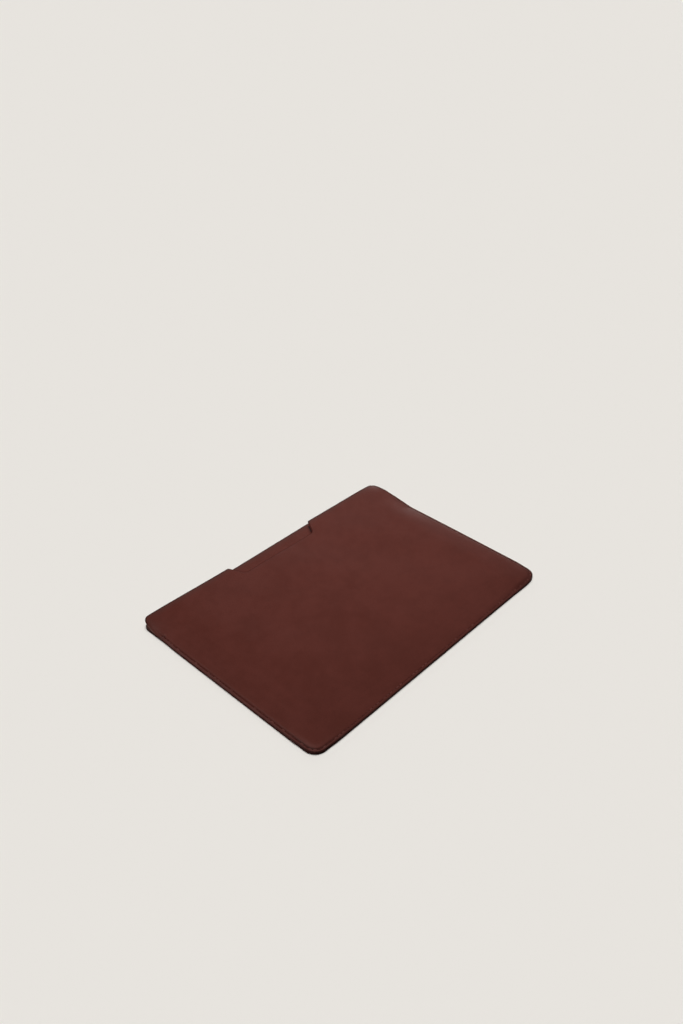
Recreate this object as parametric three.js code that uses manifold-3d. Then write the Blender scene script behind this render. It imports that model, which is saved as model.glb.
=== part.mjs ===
// Leather laptop sleeve, empty, lying flat with its mouth towards +Y. A front panel is stitched to a back
// panel along three sides and stands open along the fourth, where a wide notch leaves room for the fingers.
// Millimetres, +Z up, origin on the table under the middle of the back panel.
import * as THREE from 'three';
import { mergeVertices } from 'three/addons/utils/BufferGeometryUtils.js';
import Module from 'manifold-3d';

// Cut sizes of the two panels
const LENGTH = 340;
const WIDTH = 245;
const LEATHER = 1.5;
const PANEL_GAP = 0.3;
const BOTTOM_CORNER_RADIUS = 15;
const FRONT_MOUTH_RADIUS = 7;
const BACK_MOUTH_RADIUS = 11;

// How far the front panel's mouth edge lies short of the back panel's, at its two ends
const LEFT_SETBACK = 0.5;
const RIGHT_SETBACK = 5.3;

// Finger notch in the front panel's mouth edge, a trapezoid with rounded corners
const NOTCH_MOUTH = { left: -57, right: 61.5, radius: 3 };
const NOTCH_FLOOR = { left: -47.5, right: 51, radius: 6 };
const NOTCH_DEPTH = 18.7;
const ARC_SEGMENTS = 6;

// Seam along the left, bottom and right sides, the roll of leather beside it, and the slow swell further in
const SEAM_INSET = 2.6;
const SIDE_ROLL = { width: 2.6, height: 0.7 };
const BOTTOM_ROLL = { width: 4.4, height: 0.2 };
const ROLL_FULL_RISE = 3;
const CORNER_BLEND = 10;
const LEFT_SWELL_WIDTH = 60;
const RIGHT_SWELL_WIDTH = 32;
const BOTTOM_SWELL = { width: 50, rightWidth: 20, narrowsFrom: 90, narrowsTo: 150 };

// Grid of the front panel: fine steps beside the seam, growing towards the middle
const FINE_STEP = 1.8;
const COARSE_STEP = 13;
const STEP_GROWTH = 1.28;
const GRID_MARGIN = 2.5;
const CUTTER_HEIGHT = 40;

// Oxblood leather, a little pinker on the back panel's inner face
const FRONT_COLOUR = 0x552a25;
const BACK_COLOUR = 0x55292a;
const LEATHER_ROUGHNESS = 0.5;

const HALF_LENGTH = LENGTH / 2;
const BOTTOM_Y = -WIDTH / 2;
const BACK_MOUTH_Y = WIDTH / 2;
const SEAM_TOP = 2 * LEATHER + PANEL_GAP;

// Height of the front panel's upper face above the table. Each row is a line across the sleeve,
// with the height near its left end, at its middle and near its right end.
const CROWN_REACH = 150;
const CROWN = [
  { y: BOTTOM_Y, left: 5.9, middle: 6.5, right: 6.5 },
  { y: -75, left: 7.6, middle: 8.2, right: 8.1 },
  { y: 0, left: 8.2, middle: 8.8, right: 8.5 },
  { y: 60, left: 8.7, middle: 8.8, right: 8.7 },
  { y: 100, left: 9.5, middle: 8.5, right: 8.8 },
  { y: BACK_MOUTH_Y, left: 10.0, middle: 8.7, right: 8.8 },
];

// Height of the upper face along the two side edges: held down by the seam, and free above its ends
const SIDE_EDGES = [
  { y: BOTTOM_Y, left: SEAM_TOP, right: SEAM_TOP },
  { y: 52, left: SEAM_TOP, right: SEAM_TOP },
  { y: 66, left: SEAM_TOP, right: 5.0 },
  { y: 80, left: SEAM_TOP, right: 7.0 },
  { y: 90, left: SEAM_TOP, right: 8.2 },
  { y: 97, left: 3.5, right: 8.8 },
  { y: 103, left: 4.2, right: 8.6 },
  { y: 109, left: 5.7, right: 8.0 },
  { y: 117.2, left: 8.4, right: 6.8 },
  { y: BACK_MOUTH_Y, left: 9.7, right: 6.6 },
];

// Value of a table's column at y, on a cubic through its rows that never overshoots them
function alongTable(rows, column, y) {
  const last = rows.length - 1;
  if (y <= rows[0].y) return rows[0][column];
  if (y >= rows[last].y) return rows[last][column];
  const steepness = (k) => (rows[k + 1][column] - rows[k][column]) / (rows[k + 1].y - rows[k].y);
  const slopeAt = (k) => {
    if (k === 0) return steepness(0);
    if (k === last) return steepness(last - 1);
    const before = steepness(k - 1);
    const after = steepness(k);
    return before * after > 0 ? (2 * before * after) / (before + after) : 0;
  };
  const i = rows.findIndex((row) => row.y > y) - 1;
  const span = rows[i + 1].y - rows[i].y;
  const t = (y - rows[i].y) / span;
  const bend = (1 - t) * slopeAt(i) - t * slopeAt(i + 1);
  const blend = t * t * (3 - 2 * t);
  return THREE.MathUtils.lerp(rows[i][column], rows[i + 1][column], blend) + t * (1 - t) * span * bend;
}

// Height of the swollen panel, a parabola across each row of the crown table
function crownHeight(x, y) {
  const t = x / CROWN_REACH;
  const left = alongTable(CROWN, 'left', y);
  const middle = alongTable(CROWN, 'middle', y);
  const right = alongTable(CROWN, 'right', y);
  return middle + (t * (right - left)) / 2 + t * t * ((left + right) / 2 - middle);
}

// Distance in from the stitched sides of the outline, following the round bottom corners
function insetFromSeamedSides(x, y) {
  const overX = Math.abs(x) - (HALF_LENGTH - BOTTOM_CORNER_RADIUS);
  const overY = BOTTOM_Y + BOTTOM_CORNER_RADIUS - y;
  if (overX > 0 && overY > 0) return BOTTOM_CORNER_RADIUS - Math.hypot(overX, overY);
  return Math.min(HALF_LENGTH - Math.abs(x), y - BOTTOM_Y);
}

// 1 beside the bottom seam and 0 beside the side seams, blended round the bottom corners
function nearBottom(x, y) {
  const nearerSide = y - BOTTOM_Y - (HALF_LENGTH - Math.abs(x));
  return 1 - THREE.MathUtils.smoothstep(nearerSide, -CORNER_BLEND, CORNER_BLEND);
}

// Parabola that leaves the seam at a slope and lies level from width on
function easeIn(distance, width) {
  return 1 - (1 - THREE.MathUtils.clamp((distance - SEAM_INSET) / width, 0, 1)) ** 2;
}

// Upper face of the front panel: the edge height, a roll beside the seam, then a slow swell to the crown
function frontTop(x, y) {
  const { lerp, clamp, smoothstep } = THREE.MathUtils;
  const edge = alongTable(SIDE_EDGES, x < 0 ? 'left' : 'right', y);
  const rise = crownHeight(x, y) - edge;
  const low = nearBottom(x, y);
  const roll = lerp(SIDE_ROLL.height, BOTTOM_ROLL.height, low) * clamp(rise / ROLL_FULL_RISE, 0, 1);
  const rollWidth = lerp(SIDE_ROLL.width, BOTTOM_ROLL.width, low);
  const inside = clamp((insetFromSeamedSides(x, y) - SEAM_INSET) / rollWidth, 0, 1);
  const narrowing = smoothstep(x, BOTTOM_SWELL.narrowsFrom, BOTTOM_SWELL.narrowsTo);
  const bottomWidth = lerp(BOTTOM_SWELL.width, BOTTOM_SWELL.rightWidth, narrowing);
  const fromSides = easeIn(HALF_LENGTH + x, LEFT_SWELL_WIDTH) * easeIn(HALF_LENGTH - x, RIGHT_SWELL_WIDTH);
  const swell = fromSides * easeIn(y - BOTTOM_Y, bottomWidth);
  return edge + roll * Math.sin((inside * Math.PI) / 2) + (rise - roll) * swell;
}

// Grid lines from low to high: over the margin and the seam, over the roll, then with steps that grow
// from both ends to the coarse step
function gridLines(low, high) {
  const half = (high - low) / 2;
  const offsets = [0, GRID_MARGIN + SEAM_INSET];
  offsets.push(offsets[1] + SIDE_ROLL.width / 2, offsets[1] + SIDE_ROLL.width);
  let step = FINE_STEP;
  while (offsets.at(-1) + step < half) {
    offsets.push(offsets.at(-1) + step);
    step = Math.min(step * STEP_GROWTH, COARSE_STEP);
  }
  const upper = offsets.map((offset) => high - offset).reverse();
  return [...offsets.map((offset) => low + offset), ...upper];
}

// Closed slab of even leather under the upper face, over a rectangle wider than the panel
function frontSlab() {
  const xs = gridLines(-HALF_LENGTH - GRID_MARGIN, HALF_LENGTH + GRID_MARGIN);
  const ys = gridLines(BOTTOM_Y - GRID_MARGIN, BACK_MOUTH_Y + GRID_MARGIN);
  const layer = xs.length * ys.length;
  const positions = [];
  for (const drop of [0, LEATHER]) {
    for (const y of ys) {
      for (const x of xs) positions.push(x, y, frontTop(x, y) - drop);
    }
  }
  const faces = [];
  const addQuad = (a, b, c, d) => faces.push(a, b, c, a, c, d);
  const at = (column, row) => row * xs.length + column;
  for (let row = 0; row + 1 < ys.length; row += 1) {
    for (let column = 0; column + 1 < xs.length; column += 1) {
      const corners = [at(column, row), at(column + 1, row), at(column + 1, row + 1), at(column, row + 1)];
      addQuad(...corners);
      addQuad(...corners.map((corner) => corner + layer).reverse());
    }
  }
  const addRim = (from, to) => addQuad(from + layer, to + layer, to, from);
  for (let column = 0; column + 1 < xs.length; column += 1) {
    addRim(at(column, 0), at(column + 1, 0));
    addRim(at(column + 1, ys.length - 1), at(column, ys.length - 1));
  }
  for (let row = 0; row + 1 < ys.length; row += 1) {
    addRim(at(xs.length - 1, row), at(xs.length - 1, row + 1));
    addRim(at(0, row + 1), at(0, row));
  }
  const geometry = new THREE.BufferGeometry();
  geometry.setAttribute('position', new THREE.Float32BufferAttribute(positions, 3));
  geometry.setIndex(faces);
  return geometry;
}

// Outline through corner points, each one rounded to its own radius
function roundedOutline(corners) {
  const shape = new THREE.Shape();
  corners.forEach((corner, i) => {
    const before = corners[(i + corners.length - 1) % corners.length].point;
    const after = corners[(i + 1) % corners.length].point;
    const toBefore = before.clone().sub(corner.point).normalize();
    const toAfter = after.clone().sub(corner.point).normalize();
    const half = Math.acos(toBefore.dot(toAfter)) / 2;
    const middle = toBefore.clone().add(toAfter).normalize();
    const centre = corner.point.clone().addScaledVector(middle, corner.radius / Math.sin(half));
    const tangent = corner.radius / Math.tan(half);
    const start = corner.point.clone().addScaledVector(toBefore, tangent).sub(centre);
    const end = corner.point.clone().addScaledVector(toAfter, tangent).sub(centre);
    const clockwise = start.cross(end) < 0;
    shape.absarc(centre.x, centre.y, corner.radius, start.angle(), end.angle(), clockwise);
  });
  shape.closePath();
  return shape;
}

// Rounded rectangle from the bottom edge up to the mouth, whose corners are given from right to left
function panelOutline(mouthCorners) {
  const corner = ({ x, y, radius }) => ({ point: new THREE.Vector2(x, y), radius });
  return roundedOutline([
    corner({ x: -HALF_LENGTH, y: BOTTOM_Y, radius: BOTTOM_CORNER_RADIUS }),
    corner({ x: HALF_LENGTH, y: BOTTOM_Y, radius: BOTTOM_CORNER_RADIUS }),
    ...mouthCorners.map(corner),
  ]);
}

// The front panel's mouth edge, straight from its left to its right end
function frontMouthY(x) {
  return BACK_MOUTH_Y - THREE.MathUtils.lerp(LEFT_SETBACK, RIGHT_SETBACK, (x + HALF_LENGTH) / LENGTH);
}

const onMouth = (x, radius) => ({ x, y: frontMouthY(x), radius });
const onFloor = (x) => ({ x, y: frontMouthY(x) - NOTCH_DEPTH, radius: NOTCH_FLOOR.radius });
const frontMouthCorners = [
  onMouth(HALF_LENGTH, FRONT_MOUTH_RADIUS),
  onMouth(NOTCH_MOUTH.right, NOTCH_MOUTH.radius),
  onFloor(NOTCH_FLOOR.right),
  onFloor(NOTCH_FLOOR.left),
  onMouth(NOTCH_MOUTH.left, NOTCH_MOUTH.radius),
  onMouth(-HALF_LENGTH, FRONT_MOUTH_RADIUS),
];
const backMouthCorners = [HALF_LENGTH, -HALF_LENGTH].map((x) => ({ x, y: BACK_MOUTH_Y, radius: BACK_MOUTH_RADIUS }));

function extruded(shape, depth) {
  return new THREE.ExtrudeGeometry(shape, { depth, bevelEnabled: false, curveSegments: ARC_SEGMENTS });
}

const wasm = await Module();
wasm.setup();

// Solid of a closed geometry, with only its merged corner points
function toSolid(geometry) {
  geometry.deleteAttribute('normal');
  geometry.deleteAttribute('uv');
  const merged = mergeVertices(geometry);
  const vertProperties = new Float32Array(merged.attributes.position.array);
  const triVerts = new Uint32Array(merged.index.array);
  return new wasm.Manifold(new wasm.Mesh({ numProp: 3, vertProperties, triVerts }));
}

function toGeometry(solid) {
  const mesh = solid.getMesh();
  const geometry = new THREE.BufferGeometry();
  geometry.setAttribute('position', new THREE.BufferAttribute(mesh.vertProperties, 3));
  geometry.setIndex(new THREE.BufferAttribute(mesh.triVerts, 1));
  geometry.computeVertexNormals();
  return geometry;
}

// Front panel: the swollen slab trimmed to the cut outline
function frontPanel() {
  const cutter = toSolid(extruded(panelOutline(frontMouthCorners), CUTTER_HEIGHT));
  return toGeometry(toSolid(frontSlab()).intersect(cutter));
}

// Back panel: an even rounded rectangle, flat on the table
function backPanel() {
  return extruded(panelOutline(backMouthCorners), LEATHER);
}

function leatherPiece(name, geometry, color) {
  const finish = { color, roughness: LEATHER_ROUGHNESS, metalness: 0 };
  const piece = new THREE.Mesh(geometry, new THREE.MeshStandardMaterial(finish));
  piece.name = name;
  return piece;
}

const sleeve = new THREE.Group();
sleeve.add(leatherPiece('back_panel', backPanel(), BACK_COLOUR));
sleeve.add(leatherPiece('front_panel', frontPanel(), FRONT_COLOUR));

export default sleeve;
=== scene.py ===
import math

import bpy
import numpy as np
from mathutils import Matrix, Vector


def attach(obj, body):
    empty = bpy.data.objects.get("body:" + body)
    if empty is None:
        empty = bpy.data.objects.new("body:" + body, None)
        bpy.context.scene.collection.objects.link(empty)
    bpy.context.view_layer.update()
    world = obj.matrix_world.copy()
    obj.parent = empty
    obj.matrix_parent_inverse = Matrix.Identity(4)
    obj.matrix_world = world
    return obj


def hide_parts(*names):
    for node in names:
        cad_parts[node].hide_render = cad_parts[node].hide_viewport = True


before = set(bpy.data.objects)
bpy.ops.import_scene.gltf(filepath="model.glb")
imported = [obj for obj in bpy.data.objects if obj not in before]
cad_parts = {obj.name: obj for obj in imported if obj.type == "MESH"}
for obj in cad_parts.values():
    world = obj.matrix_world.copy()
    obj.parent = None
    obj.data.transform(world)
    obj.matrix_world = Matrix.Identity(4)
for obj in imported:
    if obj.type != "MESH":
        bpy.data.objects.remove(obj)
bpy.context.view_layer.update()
print("frame loaded with", ", ".join(sorted(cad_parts)))

metre = 0.001  # shapes are worked out in millimetres and go into the meshes in metres

# Cut and lie of the two leathers: the CAD panels' values, with the left edge a little lower near the mouth,
# and the pulls and the drawn corner that only the finished leather has
sleeve = {
    "halfLength": 170.0,
    "bottomY": -122.5,
    "frontMouthY": (122.0, 117.2),  # at the left and the right side
    "backMouthY": (122.5, 122.5),
    "bottomRadius": 15.0,
    "frontMouthRadius": (7.0, 7.0),
    "backMouthRadius": (11.0, 11.0),
    "leather": 1.5,
    "seamTop": 3.3,
    "seamInset": 2.6,
    "cornerBlend": 10.0,  # either side of a bottom corner's diagonal, from side values to bottom values
    "rollWidth": (2.6, 4.4),  # beside the side seams and beside the bottom seam
    "rollHeight": (0.7, 0.2),
    "rollRise": 3.0,  # a full roll needs this much rise to the crown
    "swellLeft": 60.0,
    "swellRight": 32.0,
    "swellBottom": (50.0, 20.0),  # as far as the middle and near the right end
    "swellNarrows": (90.0, 150.0),  # from one to the other, in x
    "crownReach": 150.0,
    # across the sleeve at each y: height near the left end, at the middle and near the right end
    "crown": np.array((
        (-122.5, 5.9, 6.5, 6.5),
        (-75.0, 7.6, 8.2, 8.1),
        (0.0, 8.2, 8.8, 8.5),
        (60.0, 8.7, 8.8, 8.7),
        (100.0, 9.5, 8.5, 8.8),
        (122.5, 10.0, 8.7, 8.8),
    )),
    # along the sides at each y: height of the left edge and of the right edge
    "sideEdges": np.array((
        (-122.5, 3.3, 3.3),
        (52.0, 3.3, 3.3),
        (66.0, 3.3, 5.0),
        (80.0, 3.3, 7.0),
        (90.0, 3.3, 8.2),
        (97.0, 3.5, 8.8),
        (103.0, 4.0, 8.6),
        (109.0, 5.3, 8.0),
        (117.2, 8.2, 6.8),
        (122.5, 9.7, 6.6),
    )),
    # where both leathers are drawn in or bow out: x, y, shift in x, shift in y and spread
    "pulls": np.array((
        (-170.0, 87.0, 0.5, 0.0, 12.0),
        (-170.0, -106.0, 0.5, 0.0, 9.0),
        (-154.0, -122.5, 0.0, 0.7, 9.0),
        (142.0, -122.5, 0.0, -0.4, 13.0),
        (161.0, -121.5, -0.25, 0.8, 7.0),
        (170.0, -109.0, -1.2, 0.0, 9.0),
        (170.0, -5.0, 0.4, 0.0, 70.0),
    )),
    # where the front leather alone draws back from its free left corner
    "cornerDraw": 1.6,
    "cornerDrawY": (96.0, 118.0),
    "cornerDrawReach": 40.0,
}


def smooth(low, high, value):
    # 0 up to low, 1 from high, and an even S curve between
    t = np.clip((value - low) / (high - low), 0, 1)
    return t * t * (3 - 2 * t)


def mix(first, second, share):
    # the first at a share of 0, the second at 1, and straight between
    return first + (second - first) * share


def fading(strength, start, end, value):
    # the strength up to start, nothing from end, and an S curve between
    return strength * (1 - smooth(start, end, value))


def ridge(strength, middle, spread, value):
    # a bell curve as high as the strength
    return strength * np.exp(-(((value - middle) / spread) ** 2))


def spot(place, x, y):
    # a bell over the plan: its strength, middle in x and y, and spread in x and y
    strength, middleX, middleY, spreadX, spreadY = place
    return strength * np.exp(-(((x - middleX) / spreadX) ** 2) - ((y - middleY) / spreadY) ** 2)


def unit(vectors):
    # each row over its own length
    return vectors / np.linalg.norm(vectors, axis=1, keepdims=True)


def alongTable(table, column, y):
    # cubic through a column's rows that never overshoots: each slope is the harmonic mean of its two steps
    rows, values = table[:, 0], table[:, column]
    span = np.diff(rows)
    steep = np.diff(values) / span
    before, after = steep[:-1], steep[1:]
    sameWay = before * after > 0
    mean = np.where(sameWay, 2 * before * after / np.where(sameWay, before + after, 1), 0)
    slope = np.concatenate((steep[:1], mean, steep[-1:]))
    y = np.clip(y, rows[0], rows[-1])
    i = np.clip(np.searchsorted(rows, y, side="right") - 1, 0, len(span) - 1)
    t = (y - rows[i]) / span[i]
    bend = (1 - t) * slope[i] - t * slope[i + 1]
    return values[i] + (values[i + 1] - values[i]) * t * t * (3 - 2 * t) + t * (1 - t) * span[i] * bend


def crownHeight(x, y):
    # a parabola across the sleeve through the three heights of the crown table at y
    t = x / sleeve["crownReach"]
    left, middle, right = (alongTable(sleeve["crown"], column, y) for column in (1, 2, 3))
    return middle + t * (right - left) / 2 + t * t * ((left + right) / 2 - middle)


def insetFromSeams(x, y):
    # distance in from the left, bottom and right sides, following the round bottom corners
    radius = sleeve["bottomRadius"]
    overX = np.abs(x) - (sleeve["halfLength"] - radius)
    overY = sleeve["bottomY"] + radius - y
    straight = np.minimum(sleeve["halfLength"] - np.abs(x), y - sleeve["bottomY"])
    return np.where((overX > 0) & (overY > 0), radius - np.hypot(overX, overY), straight)


def edgeHeight(x, y):
    # height of the nearer side edge at y
    return np.where(x < 0, alongTable(sleeve["sideEdges"], 1, y), alongTable(sleeve["sideEdges"], 2, y))


def easeIn(distance, width):
    # a parabola that leaves the seam at a slope and lies level from width on
    return 1 - (1 - np.clip((distance - sleeve["seamInset"]) / width, 0, 1)) ** 2


def nearBottom(x, y):
    # 1 beside the bottom seam, 0 beside the side seams, and an S curve round the two corners
    blend = sleeve["cornerBlend"]
    return fading(1, -blend, blend, (y - sleeve["bottomY"]) - (sleeve["halfLength"] - np.abs(x)))


def frontTop(x, y):
    # edge height, a quarter sine rolling up beside the seam, and a slow swell to the crown from three sides
    edge = edgeHeight(x, y)
    rise = crownHeight(x, y) - edge
    low = nearBottom(x, y)
    roll = mix(*sleeve["rollHeight"], low) * np.clip(rise / sleeve["rollRise"], 0, 1)
    width = mix(*sleeve["rollWidth"], low)
    inside = np.clip((insetFromSeams(x, y) - sleeve["seamInset"]) / width, 0, 1)
    swell = easeIn(x + sleeve["halfLength"], sleeve["swellLeft"])
    swell = swell * easeIn(sleeve["halfLength"] - x, sleeve["swellRight"])
    reach = mix(*sleeve["swellBottom"], smooth(*sleeve["swellNarrows"], x))
    swell = swell * easeIn(y - sleeve["bottomY"], reach)
    return edge + roll * np.sin(inside * math.pi / 2) + (rise - roll) * swell


def drawnIn(points):
    # both leathers move at each pull, by its shift times a round bell about its place
    place, shift, spread = np.split(sleeve["pulls"], (2, 4), 1)
    away = np.linalg.norm(points[:, None, :2] - place[None], axis=2) / spread.T
    moved = np.exp(-(away ** 2)) @ shift
    return points + np.hstack((moved, 0 * moved[:, :1]))


def drawnBack(points):
    # the front leather also moves right above the left end of the seam: an S curve in y that dies away in x
    x, y = points[:, 0], points[:, 1]
    fade = np.exp(-(x + sleeve["halfLength"]) / sleeve["cornerDrawReach"])
    shift = sleeve["cornerDraw"] * smooth(*sleeve["cornerDrawY"], y) * fade
    return drawnIn(points + np.stack((shift, 0 * x, 0 * x), 1))


def closedOutline(corners, runSteps):
    # each corner (x, y, radius, steps) is an arc that touches both its sides, and each side is a straight run
    # to the next arc; rows of x, y and the inward normal, anticlockwise from the middle of the first arc
    table = np.array(corners, float)
    corner, radius = table[:, :2], table[:, 2:3]
    toBefore, toAfter = unit(np.roll(corner, 1, 0) - corner), unit(np.roll(corner, -1, 0) - corner)
    half = np.arccos((toBefore * toAfter).sum(1, keepdims=True)) / 2
    centre = corner + unit(toBefore + toAfter) * radius / np.sin(half)
    start = corner + toBefore * radius / np.tan(half)
    end = corner + toAfter * radius / np.tan(half)
    turn = np.sign(toAfter[:, 0] * toBefore[:, 1] - toAfter[:, 1] * toBefore[:, 0])
    pieces = []
    for i, runs in enumerate(runSteps):
        steps = int(table[i, 3])
        angle = math.atan2(*(start[i] - centre[i])[::-1])
        angle = angle + turn[i] * (math.pi - 2 * half[i, 0]) * np.arange(steps) / steps
        spoke = np.stack((np.cos(angle), np.sin(angle)), 1)
        pieces.append(np.hstack((centre[i] + radius[i] * spoke, -turn[i] * spoke)))
        along = start[(i + 1) % len(table)] - end[i]
        run = end[i] + along * (np.arange(runs) / runs)[:, None]
        left = np.array((-along[1], along[0])) / np.hypot(*along)
        pieces.append(np.hstack((run, np.tile(left, (runs, 1)))))
    return np.roll(np.concatenate(pieces), -int(table[0, 3]) // 2, 0)


# How a leather sheet is laid out in rings: steps along its edge, and rows in from its edge
rings = {
    "bottomSteps": 267,
    "sideSteps": 188,
    "bottomArc": 24,
    "frontMouthArc": 10,
    "backMouthArc": 14,
    "notchArc": 6,
    "notchSlope": 14,
    "notchFloor": 75,
    "mouthRun": 77,
    "notchMargin": 3.0,  # below the mouth line by more than this is in the notch
    "seamBand": 14.0,
    "mouthBand": 2.8,
    "bandChange": (70.0, 113.0),  # from one to the other up the sides, in y
    "innerMargin": 10.0,
    "spineReach": 95.0,
    "rimRadius": 0.95,
    "innerRadius": 0.3,
    "rimSteps": (5, 4),  # round the upper and the lower edge
    # shares of the band where its rows lie, over and under the sheet
    "topBand": np.array((
        0.03, 0.06, 0.085, 0.11, 0.135, 0.16, 0.19, 0.23, 0.28, 0.34, 0.42, 0.52, 0.64, 0.8, 1.0,
    )),
    "lowBand": np.array((0.08, 0.115, 0.14, 0.165, 0.19, 0.22, 0.3, 0.6, 1.0)),
    "topMiddle": np.linspace(0, 1, 22)[1:-1],
    "lowMiddle": np.linspace(0, 1, 12)[1:-1],
}


def panelRing(mouthY, mouthRadius, mouthArc, mouthCorners, mouthRuns):
    # outline of a panel with the matching points of its spine, the middle line that all its rings close on
    w, b = sleeve["halfLength"], sleeve["bottomY"]
    bottomCorner = (sleeve["bottomRadius"], rings["bottomArc"])
    corners = [(-w, b, *bottomCorner), (w, b, *bottomCorner), (w, mouthY[1], mouthRadius[1], mouthArc)]
    corners += [*mouthCorners, (-w, mouthY[0], mouthRadius[0], mouthArc)]
    runs = [rings["bottomSteps"], rings["sideSteps"], *mouthRuns, rings["sideSteps"]]
    outline = closedOutline(corners, runs)
    count = len(outline)
    long = rings["bottomSteps"] + rings["bottomArc"]
    side = rings["sideSteps"] + rings["bottomArc"] // 2 + mouthArc // 2
    column = np.arange(count)
    onMouth = (column >= long + side) & (column <= 2 * long + side)
    fold = np.clip(np.where(column <= long + side, column, 2 * long + side - column), 0, long)
    x, y = outline[:, 0], outline[:, 1]
    mouthX = x[2 * long + side - np.arange(long + 1)]
    spineX = (x[: long + 1] + mouthX) / 2 * rings["spineReach"] / sleeve["halfLength"]
    band = mix(rings["seamBand"], rings["mouthBand"], smooth(*rings["bandChange"], y))
    seamLine = outline[:, :2] + outline[:, 2:] * sleeve["seamInset"]
    order = np.roll(column, -(2 * long + side))  # left mouth corner, down, round the bottom and up the right
    steps = np.linalg.norm(np.diff(seamLine[order], axis=0), axis=1)
    run = np.zeros(count)
    run[order] = np.concatenate(((0,), np.cumsum(steps)))
    seamStart = np.argmin(np.hypot(x + w, y - seam["leftEndY"]))
    return {
        "point": outline[:, :2],
        "inward": outline[:, 2:],
        "fold": fold,
        "spine": np.stack((spineX, np.zeros(long + 1)), 1),
        "band": np.where(onMouth, rings["mouthBand"], band),
        "inNotch": onMouth & (y < min(mouthY) - rings["notchMargin"]),
        "seamLine": seamLine[order],
        "seamRun": run - run[seamStart],
    }


def ringSheet(name, ring, topOf, underOf, lieOf, numbersOf):
    # closed sheet of leather: rings step in from the cut edge along its normal, then straight to the spine,
    # over and under; height runs from the upper to the under face round a rim with two rounded edges
    thick, outer, inner = sleeve["leather"], rings["rimRadius"], rings["innerRadius"]
    topTurn, lowTurn = (np.linspace(0, math.pi / 2, steps) for steps in rings["rimSteps"])
    topTurn = topTurn[1:]
    rimIn = np.concatenate((outer * (1 - np.sin(topTurn)), inner * (1 - np.cos(lowTurn))))
    rimDrop = np.concatenate((outer * (1 - np.cos(topTurn)), thick - inner * (1 - np.sin(lowTurn))))
    topBand, lowBand = rings["topBand"][::-1, None], rings["lowBand"][:, None]
    band = ring["band"][None]
    bandIn = np.concatenate((outer + (band - outer) * topBand, outer + 0 * band, rimIn[:, None] + 0 * band,
                             inner + (band - inner) * lowBand))
    bandShare = np.concatenate((0 * topBand, ((0.0,),), rimDrop[:, None] / thick, 1 + 0 * lowBand))
    bandShare = bandShare + 0 * band
    bandPlan = ring["point"][None] + ring["inward"][None] * bandIn[..., None]
    target = ring["spine"][ring["fold"]]
    topMiddle, lowMiddle = rings["topMiddle"][::-1, None, None], rings["lowMiddle"][:, None, None]
    topPlan = mix(bandPlan[:1], target, topMiddle)
    lowPlan = mix(bandPlan[-1:], target, lowMiddle)
    plan = np.concatenate((topPlan, bandPlan, lowPlan))
    far = rings["seamBand"] + rings["innerMargin"]
    inset = np.concatenate((far + 0 * topPlan[..., 0], bandIn, far + 0 * lowPlan[..., 0]))
    share = np.concatenate((0 * topPlan[..., 0], bandShare, 1 + 0 * lowPlan[..., 0]))
    rows, count = inset.shape
    run = np.tile(ring["seamRun"], (rows, 1))
    spine = np.concatenate((ring["spine"], ring["spine"]))
    lineShare = np.repeat((0.0, 1.0), len(ring["spine"]))
    x, y = np.concatenate((plan.reshape(-1, 2), spine)).T
    inset = np.concatenate((inset.ravel(), far + 0 * lineShare))
    share = np.concatenate((share.ravel(), lineShare))
    run = np.concatenate((run.ravel(), 0 * lineShare))
    points = lieOf(np.stack((x, y, mix(topOf(x, y, run), underOf(x, y, run), share)), 1))
    here = np.arange(rows * count).reshape(rows, count)
    after = np.roll(here, -1, 1)
    faces = np.stack((here[:-1], here[1:], after[1:], after[:-1]), -1).reshape(-1, 4).tolist()
    # the cut edge has the second material; the upper round above it is face leather, except in the notch
    upperRound = rings["rimSteps"][0] - 2
    firstRim = len(topMiddle) + len(topBand) + upperRound
    lastRim = len(topMiddle) + len(topBand) + len(rimIn)
    finish = np.zeros(len(faces) + 2 * count, np.int32)
    edgeRows = finish[:len(faces)].reshape(rows - 1, count)
    edgeRows[firstRim:lastRim] = 1
    edgeRows[firstRim - upperRound:firstRim, ring["inNotch"]] = 1
    # rows of faces close both sides on the spine, with triangles where two columns share a spine point
    fold, foldAfter = ring["fold"], np.roll(ring["fold"], -1)
    upper, lower = rows * count, rows * count + len(ring["spine"])
    apart = fold != foldAfter
    caps = np.stack((upper + fold, here[0], after[0], upper + foldAfter), 1)
    bases = np.stack((here[-1], lower + fold, lower + foldAfter, after[-1]), 1)
    faces += caps[apart].tolist() + caps[~apart][:, :3].tolist()
    faces += bases[apart].tolist() + bases[~apart][:, [0, 1, 3]].tolist()
    piece = putMesh(name, points, faces, numbersOf(x, y, inset, run, share))
    piece.data.polygons.foreach_set("material_index", finish)
    return piece


def putMesh(name, points, faces, numbers):
    # millimetres go in as metres, with one number a point under each name for the material to read
    mesh = bpy.data.meshes.new(name)
    mesh.from_pydata((points * metre).tolist(), [], faces)
    mesh.polygons.foreach_set("use_smooth", np.ones(len(mesh.polygons), bool))
    for label, values in numbers.items():
        mesh.attributes.new(label, "FLOAT", "POINT").data.foreach_set("value", values.astype(np.float32))
    mesh.update()
    piece = bpy.data.objects.new(name, mesh)
    bpy.context.scene.collection.objects.link(piece)
    print(name, len(points), "points,", sum(len(face) - 2 for face in faces), "triangles")
    return piece


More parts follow.
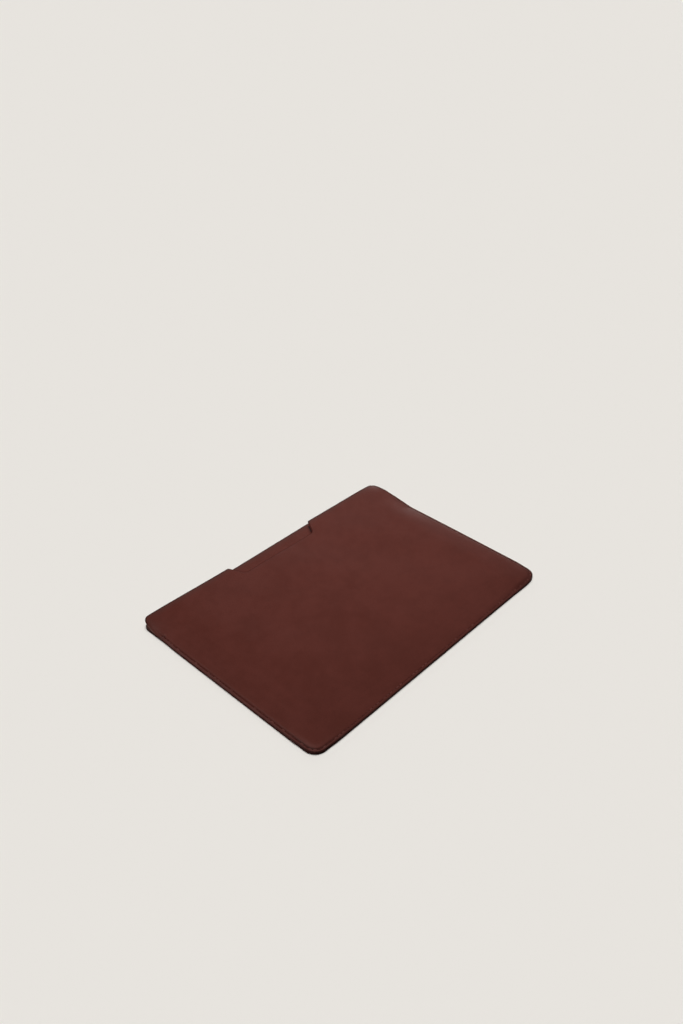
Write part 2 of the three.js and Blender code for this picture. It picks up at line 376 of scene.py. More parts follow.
# The seam: where its two ends stop, the stitches, and the groove that they pull into the leather
seam = {
    "leftEndY": 93.0,
    "rightEndY": 80.0,
    "endFade": (-2.0, 6.0),  # past an end
    "pitch": 4.6,
    "stitchLength": 3.9,
    "threadWidth": 1.0,
    "threadHeight": 0.7,
    "tubeRows": 7,
    "tubeSides": 6,
    "tubeEnd": 0.08,  # thickness left at a stitch's ends
    "lift": 0.12,
    "dip": 0.6,
    "slant": 0.06,
    "topSink": 0.18,  # of the upper stitches into the groove
    "underLevel": 0.5,
    "grooveDepth": 0.26,
    "grooveWidth": 0.7,
    "grooveBottom": 0.2,  # share of the groove left along the bottom side
    "grooveUnder": 1.6,  # times the groove, under the back leather
    "pucker": 0.3,
    "flangeSwell": 0.3,
    "flangeDroop": 0.3,
    "flangePress": 0.22,
    "flangePressFade": (0.0, 1.2),  # of height above the seam
    "tackStitches": 2,
    "tackSlant": -0.132,
    "tackShift": 0.45,
    "tackLift": 0.25,
}


def stitchedShare(x, y):
    # 1 where the seam runs, fading to 0 past its left and right ends
    return fading(1, *seam["endFade"], y - np.where(x < 0, seam["leftEndY"], seam["rightEndY"]))


def grooveDrop(x, y, run):
    # a bell-shaped groove along the seam, deepest at the holes between the stitches
    groove = ridge(seam["grooveDepth"], sleeve["seamInset"], seam["grooveWidth"], insetFromSeams(x, y))
    atHoles = 1 + seam["pucker"] * np.cos(2 * math.pi * run / seam["pitch"])
    return groove * atHoles * stitchedShare(x, y)


# The front leather: notch for the fingers, the soft waves of its face and its unburnished stretch
front = {
    "notchMouth": (-57.0, 61.5),
    "notchFloor": (-47.5, 51.0),
    "notchDepth": 18.7,
    "notchRadius": (3.0, 6.0),  # at the mouth and at the floor
    # waves: height, turns along x and y, and phase
    "waves": ((0.16, 0.052, 0.023, 0.6), (0.128, -0.03, 0.058, 2.1), (0.096, 0.081, 0.049, 4.0)),
    "waveFade": (6.0, 40.0),  # in from the seams
    "bulge": (0.5, 151.0, 44.0, 13.0, 30.0),  # beside the right seam: height, x, y and spreads
    "bulgeFade": (2.6, 9.0),
    # along the left side from the seam's end to the mouth corner: x, start and end in y, and burnish left
    "slitX": (-168.0, -164.0),
    "slitStart": (93.0, 98.0),
    "slitEnd": (110.0, 117.0),
    "slitBurnish": 0.15,
    "flat": (0.340, 0.2448),
    "area": 0.0804,
}


def frontMouth(x):
    # the front's mouth edge runs straight from its left to its right corner
    left, right = sleeve["frontMouthY"]
    return (left + right) / 2 + (right - left) / 2 * x / sleeve["halfLength"]


notchPlaces = (
    (front["notchMouth"][1], 0),
    (front["notchFloor"][1], 1),
    (front["notchFloor"][0], 1),
    (front["notchMouth"][0], 0),
)
notchCorners = [(x, frontMouth(x) - low * front["notchDepth"], front["notchRadius"][low], rings["notchArc"])
                for x, low in notchPlaces]
slopeRuns = [rings["notchSlope"], rings["notchFloor"], rings["notchSlope"]]
notchRuns = [rings["mouthRun"], *slopeRuns, rings["mouthRun"]]


def frontWaves(x, y):
    # three crossing sine waves and a bell beside the right seam, still at the stitched sides
    inset = insetFromSeams(x, y)
    waves = 0 * x
    for height, alongX, alongY, phase in front["waves"]:
        waves = waves + height * np.sin(alongX * x + alongY * y + phase)
    bulge = spot(front["bulge"], x, y) * smooth(*front["bulgeFade"], inset)
    return waves * smooth(*front["waveFade"], inset) + bulge


def frontFace(x, y, run):
    # CAD face with its waves and the seam's groove; the flange outside it swells as half a sine at the sides
    # and droops as a parabola at the bottom
    across = np.clip(insetFromSeams(x, y) / sleeve["seamInset"], 0, 1)
    low = nearBottom(x, y)
    swell = seam["flangeSwell"] * np.sin(math.pi * across) * (1 - low)
    swell = swell - seam["flangeDroop"] * (1 - across) ** 2 * low
    groove = grooveDrop(x, y, run) * mix(1, seam["grooveBottom"], low)
    return frontTop(x, y) + frontWaves(x, y) + swell * stitchedShare(x, y) - groove


def frontUnder(x, y, run):
    # one leather below the face, let down at the flange until it all but rests on the back leather
    top = frontTop(x, y)
    pressed = fading(seam["flangePress"], *seam["flangePressFade"], top - sleeve["seamTop"])
    return top + frontWaves(x, y) - sleeve["leather"] - pressed


# Wear, painted highlights and painted shade of both leathers, in millimetres: an S curve by its start and
# end, a ridge by its strength, middle and spread, and a spot by its strength, middle in x and y, and spread
# in x and y
wear = {
    "rim": (0.6, 1.9),  # in from the cut edge
    "burnish": 0.85,
    # edges that are free of the seam: in y, at the right side in x, and their share there and in the notch
    "freeY": (90.0, 100.0),
    "freeX": (166.5, 168.5),
    "freeSide": 0.4,
    "freeNotch": 0.8,
    # rubbed leather beside the free edges, with its share at the left and in the notch
    "worn": 0.55,
    "wornIn": (1.8, 4.2),
    "wornX": (-167.0, -155.0),
    "wornLeft": 0.3,
    "wornNotch": 0.3,
    # pale flange outside the seam, rubbed wear that also stands as a painted highlight on its rounding: how
    # far in at the sides and at the bottom, its share at the bottom, and its unevenness along the seam:
    # strength, length, wander and length of the wander
    "flangeStart": (0.9, 0.5),
    "flangeEnd": (2.1, 1.5),
    "paleBottom": 0.6,
    "paleMean": 0.7,
    "paleWaves": ((0.2, 13.6, 1.3, 41.0), (0.15, 7.3, 2.0, 29.0)),
    "paleRim": 0.8,  # as far down the rim
    # bottom left corner: darker rim, painted shade in the crease, and painted highlights on the roll at the
    # side and the bottom, and on the flange
    "leftReach": 45.0,
    "leftRim": (0.8, 0.5, 1.4),
    "leftCreaseShade": (0.75, 3.5, 0.8),
    "rollShine": (0.42, 0.12),
    "rollPlace": (6.0, 2.2),
    "flangeShine": (0.22, 1.6, 0.7),
    # bottom right corner: darker rim and painted shade in the crease; and the rim and a painted sheen band up
    # the right side
    "rightReach": 28.0,
    "rightRim": (0.8, 0.9, 2.3),
    "rightCreaseShade": (0.45, 4.0, 1.1),
    "sideRim": 0.75,
    "sideRimX": (150.0, 165.0),
    "band": (0.14, 164.0, 4.0),
    "bandY": (-118.0, -100.0),
    # bare leather at the left mouth corner, lightened there as painted light; painted shade of a hole at the
    # seam's left end and a painted glint beside it; painted sheen low and high on the right side
    "bareY": (96.0, 106.0),
    "bareX": (-166.0, -150.0),
    "bareRim": 0.05,
    # painted shade of a hole at the seam's left end, and a painted glint beside it
    "seamEndHoleShade": (0.95, -167.2, 90.4, 1.6, 1.6),
    "seamEndGlint": (0.3, -164.8, 91.2, 1.3, 1.3),
    "endShine": (0.16, 162.0, -101.0, 4.0, 9.0),
    "sheen": (0.26, 162.0, 46.0, 12.0, 32.0),
    # shade along the bottom seam towards the right: strength and where it grows in x, how far in, and its end
    "shade": ((0.12, 20.0, 130.0), (0.2, 112.0, 148.0)),
    "shadeIn": (4.5, 8.0),
    "shadeEnd": (160.0, 168.0),
    "edgeShade": (0.45, 0.35),  # of the cut edge along the bottom and at the bottom left corner
    "notchEdgeBelow": 1.5,
    "notchEdgeY": 80.0,
}


def leatherNumbers(x, y, inset, run, share):
    # what the materials read at each point: distance in from the cut edge, place along the seam in stitches,
    # whether stitches run there, and how pale (rubbed wear and painted highlight), shaded (painted shade),
    # bare and lit by painted light, worn, and burnished and darkened by painted shade the leather is; each
    # mark is a product of S curves and bells across its place
    side, low = insetFromSeams(x, y), nearBottom(x, y)
    upper = share < 0.5  # the face and the upper half of the rim
    rim = fading(1, *wear["rim"], inset)
    overNotch, belowMouth = np.abs(x) < front["notchMouth"][1], frontMouth(x) - y
    inNotch = overNotch & (belowMouth > rings["notchMargin"])
    free = np.maximum(smooth(*wear["freeY"], y), wear["freeSide"] * smooth(*wear["freeX"], x))
    free = free * np.where(inNotch, wear["freeNotch"], 1)
    worn = fading(wear["worn"], *wear["wornIn"], inset) * free * np.where(inNotch, wear["wornNotch"], 1)
    worn = worn * mix(wear["wornLeft"], 1, smooth(*wear["wornX"], x))
    upFromBottom = y - sleeve["bottomY"]
    byLeft = ridge(1, 0, wear["leftReach"], np.hypot(x + sleeve["halfLength"], upFromBottom))
    byRight = ridge(1, 0, wear["rightReach"], np.hypot(x - sleeve["halfLength"], upFromBottom))
    lower = low * (1 - byLeft)
    flange = fading(1, mix(*wear["flangeStart"], lower), mix(*wear["flangeEnd"], lower), side)
    uneven, turn = wear["paleMean"], 2 * math.pi * run
    for strength, length, wander, slow in wear["paleWaves"]:
        uneven = uneven + strength * np.sin(turn / length + wander * np.sin(turn / slow))
    # pale flange: rubbed wear, and a painted highlight along the flange's rounding
    pale = stitchedShare(x, y) * flange * mix(1, wear["paleBottom"], lower) * uneven
    # darker rims at the bottom corners and along the right side, and painted shade in the creases and at the
    # seam's end hole
    dark = np.maximum.reduce((
        fading(*wear["leftRim"], side) * byLeft,
        ridge(*wear["leftCreaseShade"], side) * byLeft ** 2,
        fading(*wear["rightRim"], side) * byRight,
        ridge(*wear["rightCreaseShade"], side) * byRight ** 2,
        wear["sideRim"] * rim * smooth(*wear["sideRimX"], x) * (1 - free),
        spot(wear["seamEndHoleShade"], x, y),
    ))
    # painted highlights: on the roll and the flange at the bottom left corner, and low on the right side
    shine = mix(*wear["rollShine"], low) * ridge(1, *wear["rollPlace"], side) * byLeft ** 3
    shine = shine + ridge(*wear["flangeShine"], side) * low * byLeft ** 2 + spot(wear["endShine"], x, y)
    # a painted sheen band up the right side, then all the painted light of the face together
    band = ridge(*wear["band"], x) * smooth(*wear["bandY"], y)
    light = np.maximum.reduce((shine, band, spot(wear["sheen"], x, y), spot(wear["seamEndGlint"], x, y)))
    # bare cut edge at the left mouth corner, lightened as painted light
    leftCorner = smooth(*wear["bareY"], y) * fading(1, *wear["bareX"], x) * (share > wear["bareRim"])
    shade = sum(strength * smooth(start, end, x) for strength, start, end in wear["shade"])
    shade = shade * fading(1, *wear["shadeIn"], side) * fading(1, *wear["shadeEnd"], x)
    atNotchEdge = overNotch & (belowMouth > wear["notchEdgeBelow"]) & (y > wear["notchEdgeY"])
    alongBottom, atCorner = wear["edgeShade"]
    return {
        "edgeInset": inset,
        "seamRun": run / seam["pitch"],
        "stitched": stitchedShare(x, y) * (side < sleeve["seamInset"] * 2),
        "pale": pale * (share < wear["paleRim"]),
        "edgeShade": alongBottom * low + atCorner * byLeft,
        "notchEdge": 1.0 * atNotchEdge,
        # bare edge at the left mouth corner lightened as painted light, and the painted highlights and sheen
        # of the face
        "bare": np.maximum(leftCorner, light * upper),
        "worn": worn,
        # burnished free edges, darker rims at the corners, and painted shade in the creases, at the seam's
        # end hole and along the bottom seam
        "burnish": np.maximum.reduce((wear["burnish"] * free * rim, dark, shade * upper)),
    }


def frontNumbers(x, y, inset, run, share):
    # as both leathers', with less burnish on the left side between the seam's end and the mouth corner
    numbers = leatherNumbers(x, y, inset, run, share)
    slit = fading(1, *front["slitX"], x) * smooth(*front["slitStart"], y) * fading(1, *front["slitEnd"], y)
    return {**numbers, "burnish": numbers["burnish"] * mix(1, front["slitBurnish"], slit)}


frontRing = panelRing(sleeve["frontMouthY"], sleeve["frontMouthRadius"], rings["frontMouthArc"],
                      notchCorners, notchRuns)
frontLeather = ringSheet("front_leather", frontRing, frontFace, frontUnder, drawnBack, frontNumbers)

# The back leather: a flat rounded rectangle with the seam's groove in its underside
back = {
    "mouthRun": 277,
    # bare leather at the left corner, lightened as painted light where the front leather shades it: strength,
    # where in y and x, and how far down the rim
    "bare": 0.5,
    "bareY": (96.0, 106.0),
    "bareX": (-168.0, -160.0),
    "bareRim": (0.1, 0.3),
    # the dark of the pocket is painted shade under the front leather
    "pocketShadeFade": (1.6, 2.8),  # in from the cut edge, to the dark of the pocket
    "flat": (0.340, 0.245),
    "area": 0.083,
}


def backFace(x, y, run):
    # level, one leather above the table
    return sleeve["leather"] + 0 * x


def backUnder(x, y, run):
    # flat on the table, with room pressed in for the stitches
    return seam["grooveUnder"] * grooveDrop(x, y, run)


def backNumbers(x, y, inset, run, share):
    # as both leathers', but only the upper part of the left corner's edge is bare, lightened as painted light
    numbers = leatherNumbers(x, y, inset, run, share)
    nearLeft = smooth(*back["bareY"], y) * fading(1, *back["bareX"], x)
    return {**numbers, "bare": nearLeft * fading(back["bare"], *back["bareRim"], share)}


backRing = panelRing(sleeve["backMouthY"], sleeve["backMouthRadius"], rings["backMouthArc"],
                     [], [back["mouthRun"]])
backLeather = ringSheet("back_leather", backRing, backFace, backUnder, drawnIn, backNumbers)


def stitchRow(centre, along, level, facing):
    # each stitch is a flattened tube along its own line, thinned at its ends, where it dips into the leather
    a = np.linspace(-1, 1, seam["tubeRows"])[None, :, None]
    turn = (np.arange(seam["tubeSides"]) / seam["tubeSides"] * 2 * math.pi)[None, None, :]
    across = np.stack((-along[:, 1], along[:, 0]), 1)
    body = mix(seam["tubeEnd"], 1, np.sqrt(np.clip(1 - a ** 6, 0, 1)))
    lengthwise = a * seam["stitchLength"] / 2 + 0 * turn
    sideways = body * seam["threadWidth"] / 2 * np.cos(turn)
    upward = body * seam["threadHeight"] / 2 * np.sin(turn) + seam["lift"] - seam["dip"] * np.abs(a) ** 4
    plan = centre[:, None, None] + along[:, None, None] * lengthwise[..., None]
    plan = plan + across[:, None, None] * sideways[..., None]
    z = level[:, None, None] + facing * upward
    return np.concatenate((plan, np.broadcast_to(z, plan.shape[:3])[..., None]), -1)


def seamPlaces(ring):
    # middles of the stitches along the seam line, and the line's direction there, seen half a millimetre on
    line, run = ring["seamLine"], np.sort(ring["seamRun"])
    last = run[(line[:, 0] > 0) & (line[:, 1] <= seam["rightEndY"])].max()
    middles = np.arange(0.5, last / seam["pitch"]) * seam["pitch"]
    at = np.stack([np.interp(middles, run, line[:, k]) for k in (0, 1)], 1)
    ahead = np.stack([np.interp(middles + 0.5, run, line[:, k]) for k in (0, 1)], 1)
    return at, unit(ahead - at)


def slanted(along, angle):
    # each direction with a small share of its left normal added
    return np.stack((along[:, 0] - angle * along[:, 1], along[:, 1] + angle * along[:, 0]), 1)


middles, along = seamPlaces(frontRing)
tacks = np.r_[0:seam["tackStitches"], len(middles) - seam["tackStitches"]:len(middles)]
tackShift = np.stack((-along[tacks][:, 1], along[tacks][:, 0]), 1) * seam["tackShift"]
topLevel = frontTop(middles[:, 0], middles[:, 1]) - seam["topSink"]
underLevel = 0 * topLevel + seam["underLevel"]
tackLevel = topLevel[tacks] + seam["tackLift"]
stitches = np.concatenate((
    stitchRow(middles, slanted(along, seam["slant"]), topLevel, 1),
    stitchRow(middles[tacks] + tackShift, slanted(along[tacks], seam["tackSlant"]), tackLevel, 1),
    stitchRow(middles, slanted(along, -seam["slant"]), underLevel, -1),
))
grid = stitches.shape[:3]  # stitches, rows along each and points round each
index = np.arange(stitches[..., 0].size).reshape(grid)
beside = np.roll(index, -1, 2)
quads = np.stack((index[:, :-1], beside[:, :-1], beside[:, 1:], index[:, 1:]), -1)
above = len(middles) + len(tacks)  # the stitches below are mirrored, so their faces turn round
quads[above:] = quads[above:, ..., ::-1]
ends = np.concatenate((index[:above, 0, ::-1], index[:above, -1], index[above:, 0], index[above:, -1, ::-1]))
tubeAlong = np.broadcast_to(np.linspace(0, 1, grid[1])[None, :, None], grid)
# a scattered tone from 0 to 1 for each stitch, with the first tacks palest
stitchTone = np.modf(np.abs(np.sin(12.9898 * np.arange(grid[0]))) * 437.585)[0]
stitchTone[:seam["tackStitches"]] = 1
stitchTone = np.broadcast_to(stitchTone[:, None, None], grid)
stitchFaces = quads.reshape(-1, 4).tolist() + ends.tolist()
seamStitches = putMesh("seam_stitches", drawnIn(stitches.reshape(-1, 3)), stitchFaces,
                       {"threadRun": tubeAlong.ravel(), "stitchTone": stitchTone.ravel()})


def addNode(tree, kind, inputs=None, **settings):
    # one node with its settings, its inputs given as sockets to link or as values
    made = tree.nodes.new(kind)
    for key, value in settings.items():
        setattr(made, key, value)
    for key, value in (inputs or {}).items():
        if isinstance(value, bpy.types.NodeSocket):
            tree.links.new(value, made.inputs[key])
        else:
            made.inputs[key].default_value = value
    return made


def newMaterial(name):
    # a material with one shader and its output
    material = bpy.data.materials.new(name)
    material.use_nodes = True
    tree = material.node_tree
    tree.nodes.clear()
    shader = addNode(tree, "ShaderNodeBsdfPrincipled")
    addNode(tree, "ShaderNodeOutputMaterial", {"Surface": shader.outputs["BSDF"]})
    return material, tree, shader


def ramp(tree, factor, low, high, toLow=0.0, toHigh=1.0):
    # a number from low to high as one from toLow to toHigh, on an S curve
    values = {"Value": factor, "From Min": low, "From Max": high, "To Min": toLow, "To Max": toHigh}
    return addNode(tree, "ShaderNodeMapRange", values, interpolation_type="SMOOTHSTEP").outputs["Result"]


def maths(tree, operation, first, second=0.0, third=0.0):
    # the result of one maths node
    return addNode(tree, "ShaderNodeMath", {0: first, 1: second, 2: third}, operation=operation).outputs[0]


def blendColours(tree, factor, first, second):
    # the first colour at a factor of 0, the second at 1
    return addNode(tree, "ShaderNodeMix", {0: factor, 6: first, 7: second}, data_type="RGBA").outputs[2]


def noise(tree, place, scale, detail):
    # soft noise over the piece's own coordinates
    values = {"Vector": place, "Scale": scale, "Detail": detail}
    return addNode(tree, "ShaderNodeTexNoise", values).outputs["Fac"]


def relief(tree, height, strength, depth):
    # a normal that makes the height look raised
    values = {"Height": height, "Strength": strength, "Distance": depth}
    return addNode(tree, "ShaderNodeBump", values).outputs["Normal"]


def number(tree, name):
    # a number that the mesh keeps at each point
    return addNode(tree, "ShaderNodeAttribute", attribute_name=name).outputs["Fac"]


# Smooth oxblood leather: cloudy dye, fine pebbled grain, dark burnished cut edges and needle holes, with
# painted highlights, sheen and shade mixed into its colour
leatherLook = {
    "deep": (0.0950, 0.0238, 0.0172, 1),
    "light": (0.1072, 0.0273, 0.0201, 1),
    # burnished dark, also the colour of painted shade in the creases, at the seam's end hole and along the
    # bottom seam
    "burnished": (0.022, 0.0052, 0.0043, 1),
    # rubbed pale flange colour, also a painted highlight
    "rubbedPaleAndHighlight": (0.104, 0.0380, 0.0320, 1),
    "wornEdge": (0.066, 0.0345, 0.0300, 1),
    # bare leather, and the colour of the painted highlights and sheen
    "bare": (0.170, 0.0780, 0.0680, 1),
    # noises: scale and detail
    "clouds": (26.0, 3.0),
    "cloudShare": 0.6,
    "blotches": (95.0, 4.0),
    "blotchShare": 0.4,
    "toneRange": (0.36, 0.64),
    "grainScale": 1250.0,
    "grainRandomness": 0.9,
    "grainWidth": 0.25,
    "grainShade": 0.22,
    "pores": (5200.0, 2.0),
    "poreHeight": 0.35,
    "holeRadius": (0.35, 0.75),
    "holeShade": 0.8,
    "holeDepth": 2.0,
    "reliefStrength": 0.22,
    "reliefDepth": 0.00008,
    "specular": 0.12,
    "roughRange": (0.3, 0.7),
    "roughness": (0.29, 0.35),
}


def beyondLine(tree, place, start, end):
    # 0 to the left of a line in plan, 1 from a millimetre to its right, and an S curve between
    along = np.subtract(end, start)
    right = np.array((along[1], -along[0])) / np.hypot(*along)
    values = {0: place, 1: (right[0], right[1], 0)}
    reach = addNode(tree, "ShaderNodeVectorMath", values, operation="DOT_PRODUCT").outputs["Value"]
    line = float(right @ start)
    return ramp(tree, reach, line * metre, (line + 1) * metre)


def pocketShadeMask(tree, place):
    # 1 where the front leather covers the back one, for the pocket's painted shade: below the mouth line,
    # outside the notch, off the cut edge
    rightTop, rightLow, leftLow, leftTop = (np.array(corner[:2]) for corner in notchCorners)
    covered = beyondLine(tree, place, rightLow, rightTop)
    covered = maths(tree, "MAXIMUM", covered, beyondLine(tree, place, leftTop, leftLow))
    covered = maths(tree, "MAXIMUM", covered, beyondLine(tree, place, leftLow, rightLow))
    covered = maths(tree, "MINIMUM", covered, ramp(tree, number(tree, "edgeInset"), *back["pocketShadeFade"]))
    return maths(tree, "MINIMUM", covered, beyondLine(tree, place, leftTop, rightTop))


def leatherMaterial(name, look):
    material, tree, shader = newMaterial(name)
    place = addNode(tree, "ShaderNodeTexCoord").outputs["Object"]
    cloud = noise(tree, place, *look["clouds"])
    blotch = noise(tree, place, *look["blotches"])
    cells = {"Vector": place, "Scale": look["grainScale"], "Randomness": look["grainRandomness"]}
    grain = addNode(tree, "ShaderNodeTexVoronoi", cells, feature="DISTANCE_TO_EDGE").outputs["Distance"]
    pores = noise(tree, place, *look["pores"])
    tone = maths(tree, "MULTIPLY", blotch, look["blotchShare"])
    tone = maths(tree, "MULTIPLY_ADD", cloud, look["cloudShare"], tone)
    colour = blendColours(tree, ramp(tree, tone, *look["toneRange"]), look["deep"], look["light"])
    pebble = ramp(tree, grain, 0.0, look["grainWidth"])
    valley = ramp(tree, pebble, 0.0, 1.0, look["grainShade"], 0.0)
    colour = blendColours(tree, valley, colour, look["burnished"])
    # needle holes, one at each whole number along the seam
    away = maths(tree, "PINGPONG", number(tree, "seamRun"), 0.5)
    away = maths(tree, "MULTIPLY", away, seam["pitch"])
    off = maths(tree, "SUBTRACT", number(tree, "edgeInset"), sleeve["seamInset"])
    reach = maths(tree, "SQRT", maths(tree, "MULTIPLY_ADD", away, away, maths(tree, "MULTIPLY", off, off)))
    hole = maths(tree, "MULTIPLY", ramp(tree, reach, *look["holeRadius"], 1.0, 0.0), number(tree, "stitched"))
    colour = blendColours(tree, maths(tree, "MULTIPLY", hole, look["holeShade"]), colour, look["burnished"])
    # pale flange: rubbed wear and a painted highlight
    colour = blendColours(tree, number(tree, "pale"), colour, look["rubbedPaleAndHighlight"])
    colour = blendColours(tree, number(tree, "worn"), colour, look["wornEdge"])
    # bare edges lightened as painted light, and painted highlights and sheen
    colour = blendColours(tree, number(tree, "bare"), colour, look["bare"])
    # burnished edges, darker rims at the corners, and painted shade in the creases, at the seam's end hole
    # and along the bottom seam
    colour = blendColours(tree, number(tree, "burnish"), colour, look["burnished"])
    # painted shade inside the pocket, under the front leather
    if "inside" in look:
        colour = blendColours(tree, pocketShadeMask(tree, place), colour, look["inside"])
    height = maths(tree, "MULTIPLY_ADD", pores, look["poreHeight"], pebble)
    height = maths(tree, "SUBTRACT", height, maths(tree, "MULTIPLY", hole, look["holeDepth"]))
    bump = relief(tree, height, look["reliefStrength"], look["reliefDepth"])
    tree.links.new(colour, shader.inputs["Base Color"])
    rough = ramp(tree, blotch, *look["roughRange"], *look["roughness"])
    tree.links.new(rough, shader.inputs["Roughness"])
    tree.links.new(bump, shader.inputs["Normal"])
    shader.inputs["Specular IOR Level"].default_value = look["specular"]
    return material


# Cut edges: the front's is bare leather, the back's is dyed dark and rubbed down, its darkness partly painted
# shade near the floor;
# both are darker along the bottom and at the bottom left corner as painted shade, and lightened at the left
# mouth corner as painted light
cutEdge = {
    "streakDetail": 5.0,
    "streakRange": (0.35, 0.65),
    "roughRange": (0.3, 0.7),
    "roughness": (0.5, 0.7),
    "reliefStrength": 0.4,
    "reliefDepth": 0.0002,
}
frontEdgeLook = {
    **cutEdge,
    "dark": (0.055, 0.0210, 0.0180, 1),
    "light": (0.105, 0.0420, 0.0360, 1),
    "shaded": (0.022, 0.0055, 0.0045, 1),
    "notch": (0.075, 0.0180, 0.0140, 1),
    "bare": (0.225, 0.1000, 0.0770, 1),
    "patchScale": 260.0,
}
backEdgeLook = {
    **cutEdge,
    "dark": (0.020, 0.0068, 0.0056, 1),
    "light": (0.042, 0.0140, 0.0118, 1),
    "shaded": (0.016, 0.0050, 0.0042, 1),
    "notch": (0.042, 0.0140, 0.0118, 1),
    "bare": (0.190, 0.0900, 0.0780, 1),
    "patchScale": 400.0,
}


def edgeMaterial(name, look):
    material, tree, shader = newMaterial(name)
    place = addNode(tree, "ShaderNodeTexCoord").outputs["Object"]
    streaks = noise(tree, place, look["patchScale"], look["streakDetail"])
    colour = blendColours(tree, ramp(tree, streaks, *look["streakRange"]), look["dark"], look["light"])
    colour = blendColours(tree, number(tree, "edgeShade"), colour, look["shaded"])
    colour = blendColours(tree, number(tree, "notchEdge"), colour, look["notch"])
    colour = blendColours(tree, number(tree, "bare"), colour, look["bare"])
    tree.links.new(colour, shader.inputs["Base Color"])
    rough = ramp(tree, streaks, *look["roughRange"], *look["roughness"])
    bump = relief(tree, streaks, look["reliefStrength"], look["reliefDepth"])
    tree.links.new(rough, shader.inputs["Roughness"])
    tree.links.new(bump, shader.inputs["Normal"])
    shader.inputs["Specular IOR Level"].default_value = 0.0
    return material


frontLeather.data.materials.append(leatherMaterial("front_oxblood", leatherLook))
frontLeather.data.materials.append(edgeMaterial("front_cut_edge", frontEdgeLook))
# the back's inside colour is painted shade in the pocket under the front leather
backLook = {**leatherLook, "inside": (0.030, 0.0050, 0.0040, 1)}
backLeather.data.materials.append(leatherMaterial("back_oxblood", backLook))
backLeather.data.materials.append(edgeMaterial("back_cut_edge", backEdgeLook))

# Waxed thread in the leather's own colour
threadLook = {
    "dark": (0.04, 0.0095, 0.008, 1),
    "light": (0.09, 0.024, 0.020, 1),
    "rubbed": (0.150, 0.056, 0.048, 1),
    "rubbedFrom": 0.45,  # of a stitch's tone
    "rubbedMost": 0.9,
    "toneRange": (0.2, 0.8),
    "twists": 5.0,
    "fibres": (2600.0, 2.0),  # scale and detail of the noise
    "reliefStrength": 0.5,
    "reliefDepth": 0.0001,
    "roughness": 0.55,
    "specular": 0.1,
}


def threadMaterial(name, look):
    material, tree, shader = newMaterial(name)
    place = addNode(tree, "ShaderNodeTexCoord").outputs["Object"]
    fibre = noise(tree, place, *look["fibres"])
    twist = maths(tree, "MULTIPLY", number(tree, "threadRun"), look["twists"] * 2 * math.pi)
    twist = maths(tree, "MULTIPLY_ADD", maths(tree, "SINE", twist), 0.5, 0.5)
    tone = maths(tree, "MULTIPLY_ADD", twist, 0.5, maths(tree, "MULTIPLY", fibre, 0.5))
    colour = blendColours(tree, ramp(tree, tone, *look["toneRange"]), look["dark"], look["light"])
    rubbed = ramp(tree, number(tree, "stitchTone"), look["rubbedFrom"], 1.0, 0.0, look["rubbedMost"])
    colour = blendColours(tree, rubbed, colour, look["rubbed"])
    bump = relief(tree, tone, look["reliefStrength"], look["reliefDepth"])
    tree.links.new(colour, shader.inputs["Base Color"])
    tree.links.new(bump, shader.inputs["Normal"])
    shader.inputs["Roughness"].default_value = look["roughness"]
    shader.inputs["Specular IOR Level"].default_value = look["specular"]
    return material


seamStitches.data.materials.append(threadMaterial("oxblood_thread", threadLook))
print("materials made")

dressed = [frontLeather, backLeather, seamStitches]
for piece, slot in zip(dressed, ("front_leather", "back_leather", "seam_thread")):
    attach(piece, "root")
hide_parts("front_panel")
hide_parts("back_panel")

# The studio: a wide pale floor, a dim room with a bright patch overhead and two pale ones on the far right,
# a sun each for the floor and the sleeve, and a soft light above the sleeve's far end
studio = {
    "floorHalf": 30.0,
    "floorLines": 5,
    "floorColour": (0.93, 0.898, 0.849, 1),
    "floorRoughness": 0.9,
    "backdrop": (0.80, 0.776, 0.73, 1),
    "dark": 0.015,
    # each patch: its direction, strength, and how many degrees out it starts to fade and is gone
    "overhead": ((-0.22, 0.26, 0.94), 1.1, 17.0, 29.0),
    "lowWall": ((0.58, 0.80, 0.14), 1.1, 14.0, 27.5),
    "sideWall": ((0.76, 0.20, 0.62), 0.35, 6.0, 24.0),
    "floorSun": 2.05,
    "sleeveSun": 1.12,
    "sunAngle": 30.0,
    "floorSunFrom": (0.18, 0.16, 1.0),
    "sleeveSunFrom": (-0.20, 0.56, 0.80),
    "overStrength": 2.5,
    "overSize": 0.3,
    "overFrom": (0.160, 0.160, 0.60),
}

half = studio["floorHalf"] / metre
floorLines = np.linspace(-half, half, studio["floorLines"])
floorX, floorY = (values.ravel() for values in np.meshgrid(floorLines, floorLines))
tiles = np.arange(len(floorX)).reshape(studio["floorLines"], -1)
floorFaces = np.stack((tiles[:-1, :-1], tiles[:-1, 1:], tiles[1:, 1:], tiles[1:, :-1]), -1).reshape(-1, 4)
floor = putMesh("floor", np.stack((floorX, floorY, 0 * floorX), 1), floorFaces.tolist(), {})
floorMaterial, _, floorShader = newMaterial("pale_floor")
floorShader.inputs["Base Color"].default_value = studio["floorColour"]
floorShader.inputs["Roughness"].default_value = studio["floorRoughness"]
floorShader.inputs["Specular IOR Level"].default_value = 0.0
floor.data.materials.append(floorMaterial)

world = bpy.data.worlds.new("studio_room")
world.use_nodes = True
bpy.context.scene.world = world
room = world.node_tree
room.nodes.clear()
outward = addNode(room, "ShaderNodeTexCoord").outputs["Generated"]


def patch(direction, strength, inner, outer):
    # bright round a direction: by the angle between it and where a ray goes
    values = {0: outward, 1: Vector(direction).normalized()}
    towards = addNode(room, "ShaderNodeVectorMath", values, operation="DOT_PRODUCT").outputs["Value"]
    edge = (math.cos(math.radians(angle)) for angle in (outer, inner))
    return ramp(room, towards, *edge, 0.0, strength)


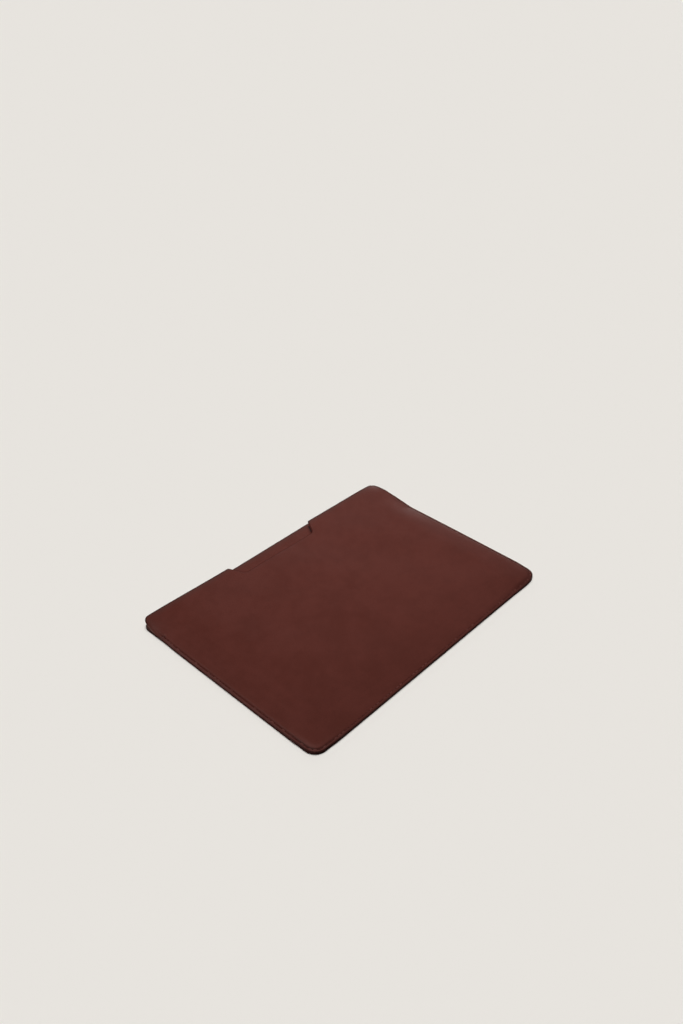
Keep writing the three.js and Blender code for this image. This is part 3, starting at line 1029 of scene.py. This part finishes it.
brightness = maths(room, "ADD", patch(*studio["overhead"]), patch(*studio["lowWall"]))
brightness = maths(room, "ADD", brightness, patch(*studio["sideWall"]))
brightness = maths(room, "ADD", brightness, studio["dark"])
roomLight = addNode(room, "ShaderNodeBackground", {"Color": (1, 1, 1, 1), "Strength": brightness}).outputs[0]
backdrop = addNode(room, "ShaderNodeBackground", {"Color": studio["backdrop"], "Strength": 1.0}).outputs[0]
seen = addNode(room, "ShaderNodeLightPath").outputs["Is Camera Ray"]
shown = addNode(room, "ShaderNodeMixShader", {0: seen, 1: roomLight, 2: backdrop}).outputs[0]
addNode(room, "ShaderNodeOutputWorld", {"Surface": shown})


def addLight(name, kind, strength, fromPoint, receivers):
    # a light that looks back at the origin and falls on the receivers alone, without a gloss of its own
    light = bpy.data.lights.new(name, kind)
    light.energy = strength
    lightObject = bpy.data.objects.new(name, light)
    lightObject.rotation_euler = Vector(fromPoint).to_track_quat("Z", "Y").to_euler()
    bpy.context.scene.collection.objects.link(lightObject)
    lit = bpy.data.collections.new(name + "_lit")
    for piece in receivers:
        lit.objects.link(piece)
    lightObject.light_linking.receiver_collection = lit
    lightObject.visible_glossy = False
    return light, lightObject


for name, receivers in (("floorSun", [floor]), ("sleeveSun", dressed)):
    sun, _ = addLight(name, "SUN", studio[name], studio[name + "From"], receivers)
    sun.angle = math.radians(studio["sunAngle"])
over, overObject = addLight("over_light", "AREA", studio["overStrength"], (0, 0, 1), dressed)
over.size = studio["overSize"]
overObject.location = studio["overFrom"]

# The camera of the photograph, fitted to the sleeve's edges
view = {
    "azimuth": -46.70,
    "elevation": 35.85,
    "aim": (0.10966, 0.11064, 0.0),
    "distance": 1.09034,
    "lens": 32.695,
    "sensor": 36.0,
    "clipEnd": 200.0,
}
azimuth, elevation = math.radians(view["azimuth"]), math.radians(view["elevation"])
level = math.cos(elevation)
backward = Vector((math.sin(azimuth) * level, -math.cos(azimuth) * level, math.sin(elevation)))
camera = bpy.data.cameras.new("camera")
camera.lens = view["lens"]
camera.sensor_width = view["sensor"]
camera.clip_end = view["clipEnd"]
cameraObject = bpy.data.objects.new("camera", camera)
cameraObject.location = Vector(view["aim"]) + backward * view["distance"]
cameraObject.rotation_euler = (-backward).to_track_quat("-Z", "Y").to_euler()
bpy.context.scene.collection.objects.link(cameraObject)
bpy.context.scene.camera = cameraObject
bpy.context.scene.view_settings.view_transform = "Standard"
print("studio and camera set")
